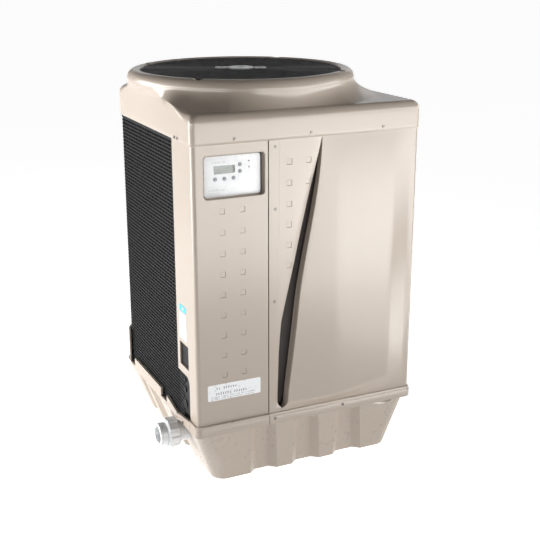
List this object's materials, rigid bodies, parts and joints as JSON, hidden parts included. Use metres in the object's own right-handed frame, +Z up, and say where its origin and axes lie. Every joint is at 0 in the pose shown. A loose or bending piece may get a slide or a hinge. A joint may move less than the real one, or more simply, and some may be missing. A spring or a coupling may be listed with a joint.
{
  "type": "heat pump unit",
  "caption": "Top-discharge pool and spa heat pump: moulded cabinet with round fan shroud, wrap-round coil guard, control pocket, service panel and two water unions.",
  "frame": {"origin": "centre of the cabinet's footprint, on the ground face of the base pan", "axes": "+Z up; the front, with the control panel, faces -Y; +X is to the right of a person who faces the front"},
  "size_m": [0.954, 0.8483, 1.329],
  "materials": {
    "casing_beige": "satin moulded, warm beige",
    "guard_black": "satin black moulded",
    "guard_wire": "black coated wire",
    "hub_white": "light grey moulded",
    "screw_dark": "dull stainless",
    "motor_paint": "black enamel",
    "shaft_steel": "ground",
    "blade_metal": "dark grey coated",
    "fin_metal": "dark coated fins",
    "galvanised": "galvanised",
    "copper": "copper, slightly dulled",
    "label_silver": "silver white film",
    "label_blue": "printed film, blue and pale",
    "faceplate_white": "satin white",
    "display_glass": "clear window",
    "display_grey": "grey green display",
    "button_grey": "satin grey",
    "lamp_lens": "smoked lens",
    "board_green": "solder mask",
    "electric_black": "satin black",
    "can_metal": "drawn can",
    "compressor_black": "black enamel",
    "rubber": "black",
    "exchanger_grey": "dark grey moulded",
    "pvc_white": "satin white"
  },
  "bodies": {
    "cabinet": {"accumulator": "compressor_black", "base_pan": "casing_beige", "center_post": "galvanised", "circuit_boards": "board_green", "coil_end_plates": "galvanised", "coil_guard": "guard_black", "compressor": "compressor_black", "compressor_feet": "rubber", "contactor": "electric_black", "control_faceplate": "faceplate_white", "control_panel": "casing_beige", "copper_lines": "copper", "cover_screws": "screw_dark", "display_module": "display_grey", "display_window": "display_glass", "electrical_box": "galvanised", "evaporator_coil": "fin_metal", "exchanger_caps": "exchanger_grey", "expansion_valve": "copper", "fan_guard": "guard_wire", "fan_motor": "motor_paint", "filter_drier": "copper", "guard_hub": "hub_white", "guard_screws": "screw_dark", "heat_exchanger": "exchanger_grey", "inlet_socket": "pvc_white", "inlet_tailpiece": "pvc_white", "knockouts": "guard_black", "motor_bracket": "guard_wire", "name_label": "label_silver", "outlet_socket": "pvc_white", "outlet_tailpiece": "pvc_white", "pressure_switch": "exchanger_grey", "return_bends": "copper", "reversing_valve": "copper", "right_post": "galvanised", "run_capacitor": "can_metal", "service_ports": "copper", "side_labels": "label_blue", "side_screws": "screw_dark", "status_lamps": "lamp_lens", "terminal_block": "electric_black", "top_cover": "casing_beige", "transformer": "electric_black", "union_rings": "rubber", "utility_plate": "guard_black", "water_inlet_pipe": "pvc_white", "water_outlet_pipe": "pvc_white"},
    "fan": {"motor_shaft": "shaft_steel", "fan_hub": "blade_metal", "fan_blades": "blade_metal"},
    "service_panel": {"access_panel": "casing_beige", "access_screws": "screw_dark"},
    "outlet_union_nut": {"outlet_nut": "pvc_white"},
    "inlet_union_nut": {"inlet_nut": "pvc_white"},
    "button_mode_body": {"button_mode": "button_grey"},
    "button_menu_body": {"button_menu": "button_grey"},
    "button_enter_body": {"button_enter": "button_grey"},
    "button_up_body": {"button_up": "button_grey"},
    "button_down_body": {"button_down": "button_grey"}
  },
  "joints": [
    {"name": "fan_spin", "type": "hinge", "parent": "cabinet", "child": "fan", "pos_m": [-0.051, 0.03, 1.18], "axis": [0, 0, 1], "continuous": true},
    {"name": "access_panel_pull", "type": "slide", "parent": "cabinet", "child": "service_panel", "axis": [0, -1, 0], "range_m": [0, 0.3]},
    {"name": "outlet_nut_turn", "type": "hinge", "parent": "cabinet", "child": "outlet_union_nut", "pos_m": [-0.43, -0.215, 0.14], "axis": [-1, 0, 0], "range_deg": [0, 720]},
    {"name": "inlet_nut_turn", "type": "hinge", "parent": "cabinet", "child": "inlet_union_nut", "pos_m": [0.43, 0.1, 0.14], "axis": [1, 0, 0], "range_deg": [0, 720]},
    {"name": "button_mode_press", "type": "slide", "parent": "cabinet", "child": "button_mode_body", "axis": [0, 1, 0], "range_m": [0, 0.0015], "stiffness_N_per_m": 800, "springref_m": -0.001},
    {"name": "button_menu_press", "type": "slide", "parent": "cabinet", "child": "button_menu_body", "axis": [0, 1, 0], "range_m": [0, 0.0015], "stiffness_N_per_m": 800, "springref_m": -0.001},
    {"name": "button_enter_press", "type": "slide", "parent": "cabinet", "child": "button_enter_body", "axis": [0, 1, 0], "range_m": [0, 0.0015], "stiffness_N_per_m": 800, "springref_m": -0.001},
    {"name": "button_up_press", "type": "slide", "parent": "cabinet", "child": "button_up_body", "axis": [0, 1, 0], "range_m": [0, 0.0015], "stiffness_N_per_m": 800, "springref_m": -0.001},
    {"name": "button_down_press", "type": "slide", "parent": "cabinet", "child": "button_down_body", "axis": [0, 1, 0], "range_m": [0, 0.0015], "stiffness_N_per_m": 800, "springref_m": -0.001}
  ]
}
